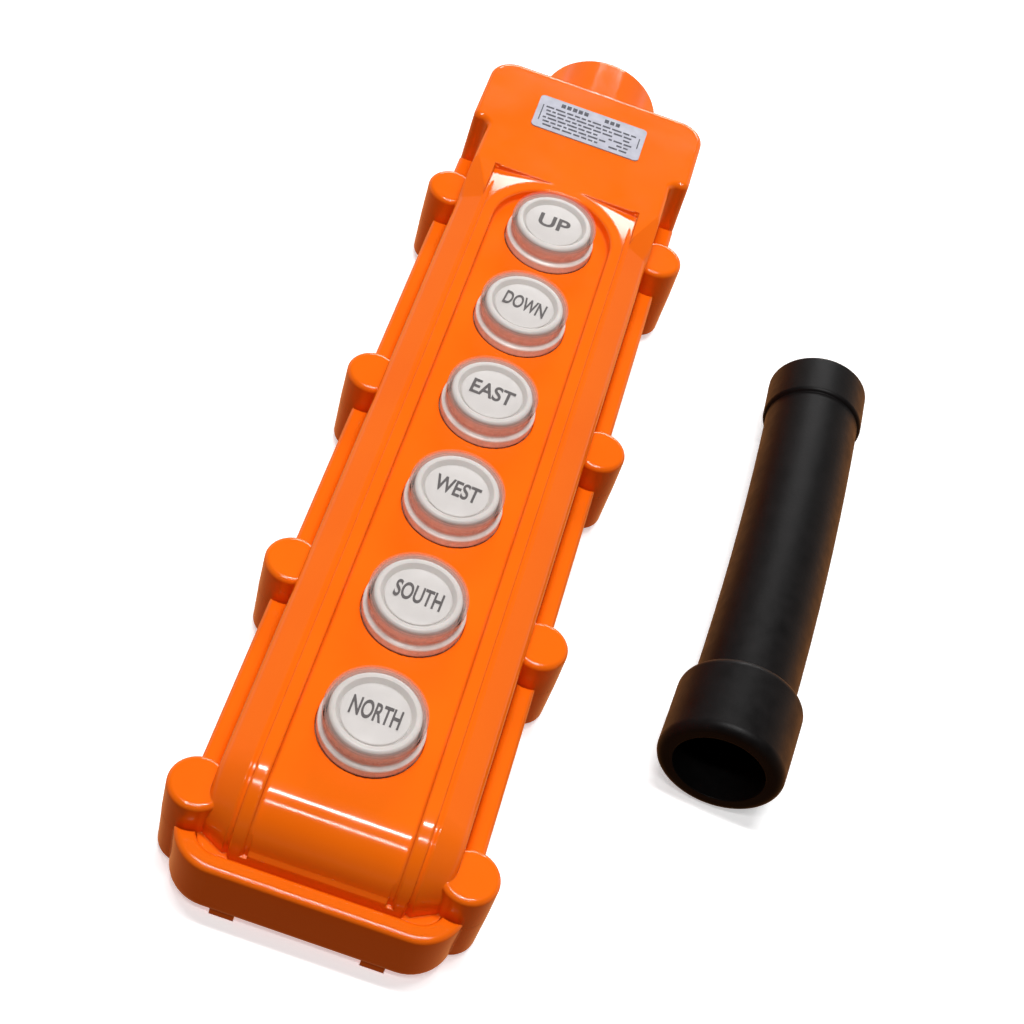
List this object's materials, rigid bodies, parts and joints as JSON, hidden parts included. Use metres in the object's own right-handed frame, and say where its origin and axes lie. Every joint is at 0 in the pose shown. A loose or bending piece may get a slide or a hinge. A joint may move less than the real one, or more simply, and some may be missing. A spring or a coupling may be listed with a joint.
{
  "type": "pendant control station",
  "caption": "Long two-shell orange hand pendant with a row of round booted push buttons in a recessed channel, edge screw bosses, a cable neck, and a loose black cable sleeve.",
  "frame": {"origin": "on the plane of the rear rails that the station lies on, under the middle of the button row", "axes": "+Z out of the front face, +Y along the station towards the cable entry, +X to the right when the legends read upright"},
  "size_m": [0.1216, 0.2562, 0.0364],
  "materials": {
    "housing_orange": "glossy moulded plastic",
    "gasket_rubber": "matte",
    "screw_steel": "zinc plated",
    "label_foil": "satin printed foil",
    "block_black": "moulded",
    "contact_brass": "bright",
    "clamp_steel": "zinc plated",
    "cap_white": "satin gloss",
    "legend_white": "printed insert",
    "plunger_nylon": "moulded",
    "spring_steel": "drawn wire",
    "boot_clear": "clear silicone",
    "sleeve_rubber": "moulded rubber, slight sheen"
  },
  "bodies": {
    "housing": {"front_cover": "housing_orange", "rear_cover": "housing_orange", "housing_gasket": "gasket_rubber", "housing_screws": "screw_steel", "rating_label": "label_foil", "contact_block_1": "block_black", "contact_block_2": "block_black", "contact_block_3": "block_black", "contact_block_screws": "screw_steel", "terminals_1": "contact_brass", "terminals_2": "contact_brass", "terminals_3": "contact_brass", "terminal_screws": "screw_steel", "cable_clamp": "clamp_steel", "cable_clamp_screws": "screw_steel", "boot_north": "boot_clear", "boot_south": "boot_clear", "boot_west": "boot_clear", "boot_east": "boot_clear", "boot_down": "boot_clear", "boot_up": "boot_clear", "return_spring_north": "spring_steel", "return_spring_south": "spring_steel", "return_spring_west": "spring_steel", "return_spring_east": "spring_steel", "return_spring_down": "spring_steel", "return_spring_up": "spring_steel"},
    "button_north": {"cap_north": "cap_white", "legend_disc_north": "legend_white", "plunger_north": "plunger_nylon", "contact_bridge_north": "contact_brass"},
    "button_south": {"cap_south": "cap_white", "legend_disc_south": "legend_white", "plunger_south": "plunger_nylon", "contact_bridge_south": "contact_brass"},
    "button_west": {"cap_west": "cap_white", "legend_disc_west": "legend_white", "plunger_west": "plunger_nylon", "contact_bridge_west": "contact_brass"},
    "button_east": {"cap_east": "cap_white", "legend_disc_east": "legend_white", "plunger_east": "plunger_nylon", "contact_bridge_east": "contact_brass"},
    "button_down": {"cap_down": "cap_white", "legend_disc_down": "legend_white", "plunger_down": "plunger_nylon", "contact_bridge_down": "contact_brass"},
    "button_up": {"cap_up": "cap_white", "legend_disc_up": "legend_white", "plunger_up": "plunger_nylon", "contact_bridge_up": "contact_brass"},
    "sleeve": {"cable_sleeve": "sleeve_rubber"}
  },
  "joints": [
    {"name": "press_north", "type": "slide", "parent": "housing", "child": "button_north", "axis": [0, 0, -1], "range_m": [0, 0.004], "stiffness_N_per_m": 600, "springref_m": -0.002, "deforming": ["return_spring_north", "boot_north"]},
    {"name": "press_south", "type": "slide", "parent": "housing", "child": "button_south", "axis": [0, 0, -1], "range_m": [0, 0.004], "stiffness_N_per_m": 600, "springref_m": -0.002, "deforming": ["return_spring_south", "boot_south"]},
    {"name": "press_west", "type": "slide", "parent": "housing", "child": "button_west", "axis": [0, 0, -1], "range_m": [0, 0.004], "stiffness_N_per_m": 600, "springref_m": -0.002, "deforming": ["return_spring_west", "boot_west"]},
    {"name": "press_east", "type": "slide", "parent": "housing", "child": "button_east", "axis": [0, 0, -1], "range_m": [0, 0.004], "stiffness_N_per_m": 600, "springref_m": -0.002, "deforming": ["return_spring_east", "boot_east"]},
    {"name": "press_down", "type": "slide", "parent": "housing", "child": "button_down", "axis": [0, 0, -1], "range_m": [0, 0.004], "stiffness_N_per_m": 600, "springref_m": -0.002, "deforming": ["return_spring_down", "boot_down"]},
    {"name": "press_up", "type": "slide", "parent": "housing", "child": "button_up", "axis": [0, 0, -1], "range_m": [0, 0.004], "stiffness_N_per_m": 600, "springref_m": -0.002, "deforming": ["return_spring_up", "boot_up"]},
    {"name": "sleeve_lift", "type": "slide", "parent": "housing", "child": "sleeve", "axis": [0, 0, 1], "range_m": [0, 0.15]}
  ]
}
